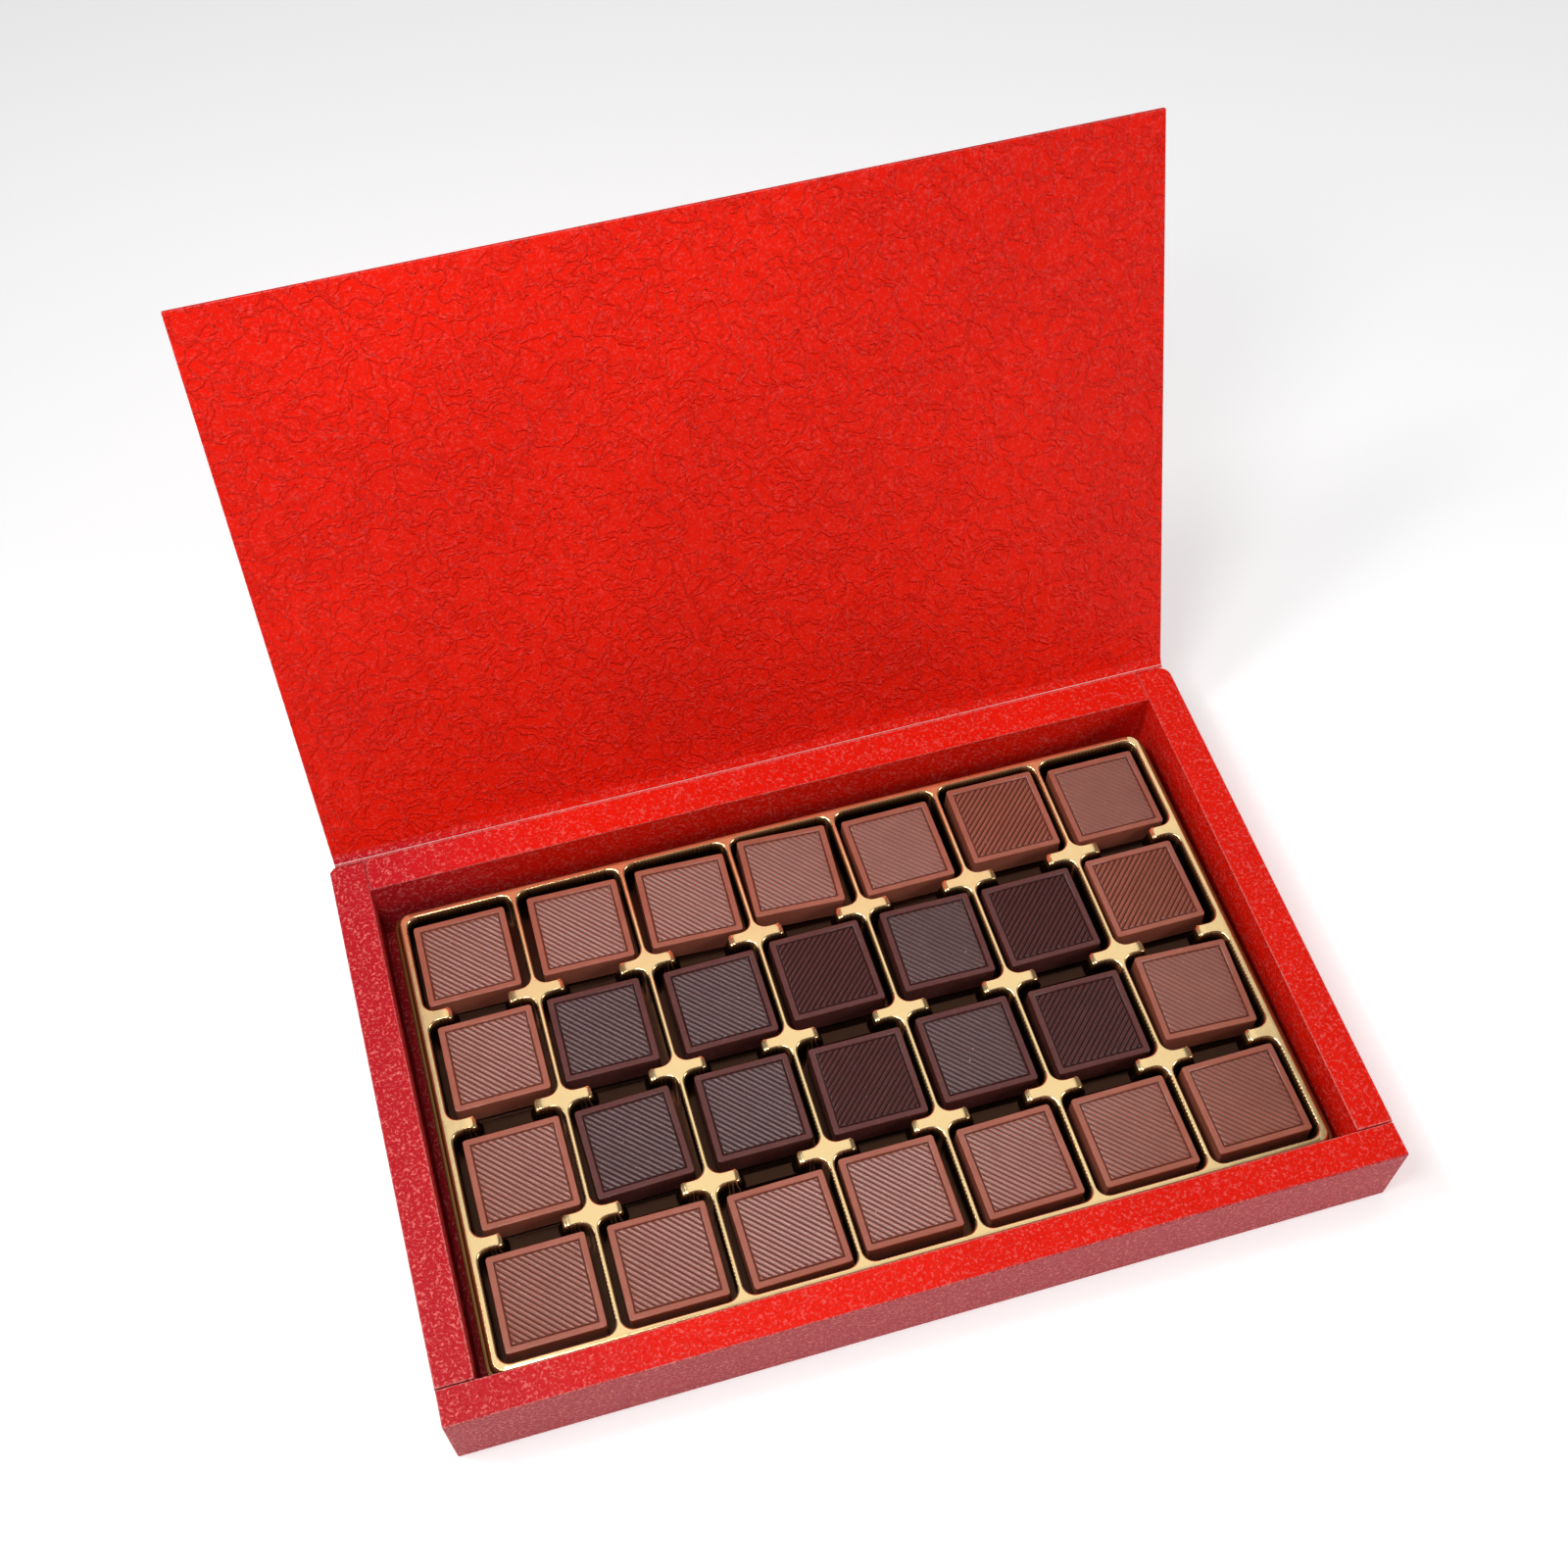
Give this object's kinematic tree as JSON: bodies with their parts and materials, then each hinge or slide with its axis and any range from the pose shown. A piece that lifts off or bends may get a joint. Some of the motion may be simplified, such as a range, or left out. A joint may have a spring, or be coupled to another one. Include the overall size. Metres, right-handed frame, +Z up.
{
  "type": "box of chocolate pralines",
  "caption": "Open flat gift carton with a hinged flap lid and a formed tray that holds rows of square ridged chocolates.",
  "frame": {"origin": "middle of the carton's underside, on the surface that it rests on", "axes": "+X along the carton's front edge to the right, +Y from the front edge to the hinge, +Z up"},
  "size_m": [0.2834, 0.252, 0.1974],
  "materials": {
    "red_card": "leather-grain embossed coated paper, satin",
    "gold_plastic": "metallised gold film, glossy",
    "milk_chocolate": "moulded chocolate, soft satin",
    "dark_chocolate": "moulded chocolate, soft satin"
  },
  "bodies": {
    "carton": {"carton_base": "red_card", "gold_tray": "gold_plastic", "chocolate_r1_c1": "milk_chocolate", "chocolate_r1_c2": "milk_chocolate", "chocolate_r1_c3": "milk_chocolate", "chocolate_r1_c4": "milk_chocolate", "chocolate_r1_c5": "milk_chocolate", "chocolate_r1_c6": "milk_chocolate", "chocolate_r1_c7": "milk_chocolate", "chocolate_r2_c1": "milk_chocolate", "chocolate_r2_c2": "dark_chocolate", "chocolate_r2_c3": "dark_chocolate", "chocolate_r2_c4": "dark_chocolate", "chocolate_r2_c5": "dark_chocolate", "chocolate_r2_c6": "dark_chocolate", "chocolate_r2_c7": "milk_chocolate", "chocolate_r3_c1": "milk_chocolate", "chocolate_r3_c2": "dark_chocolate", "chocolate_r3_c3": "dark_chocolate", "chocolate_r3_c4": "dark_chocolate", "chocolate_r3_c5": "dark_chocolate", "chocolate_r3_c6": "dark_chocolate", "chocolate_r3_c7": "milk_chocolate", "chocolate_r4_c1": "milk_chocolate", "chocolate_r4_c2": "milk_chocolate", "chocolate_r4_c3": "milk_chocolate", "chocolate_r4_c4": "milk_chocolate", "chocolate_r4_c5": "milk_chocolate", "chocolate_r4_c6": "milk_chocolate", "chocolate_r4_c7": "milk_chocolate"},
    "lid": {"carton_lid": "red_card"}
  },
  "joints": [
    {"name": "lid_hinge", "type": "hinge", "parent": "carton", "child": "lid", "pos_m": [0, 0.0913, 0.0291], "axis": [1, 0, 0], "range_deg": [-75, 111.5]}
  ]
}
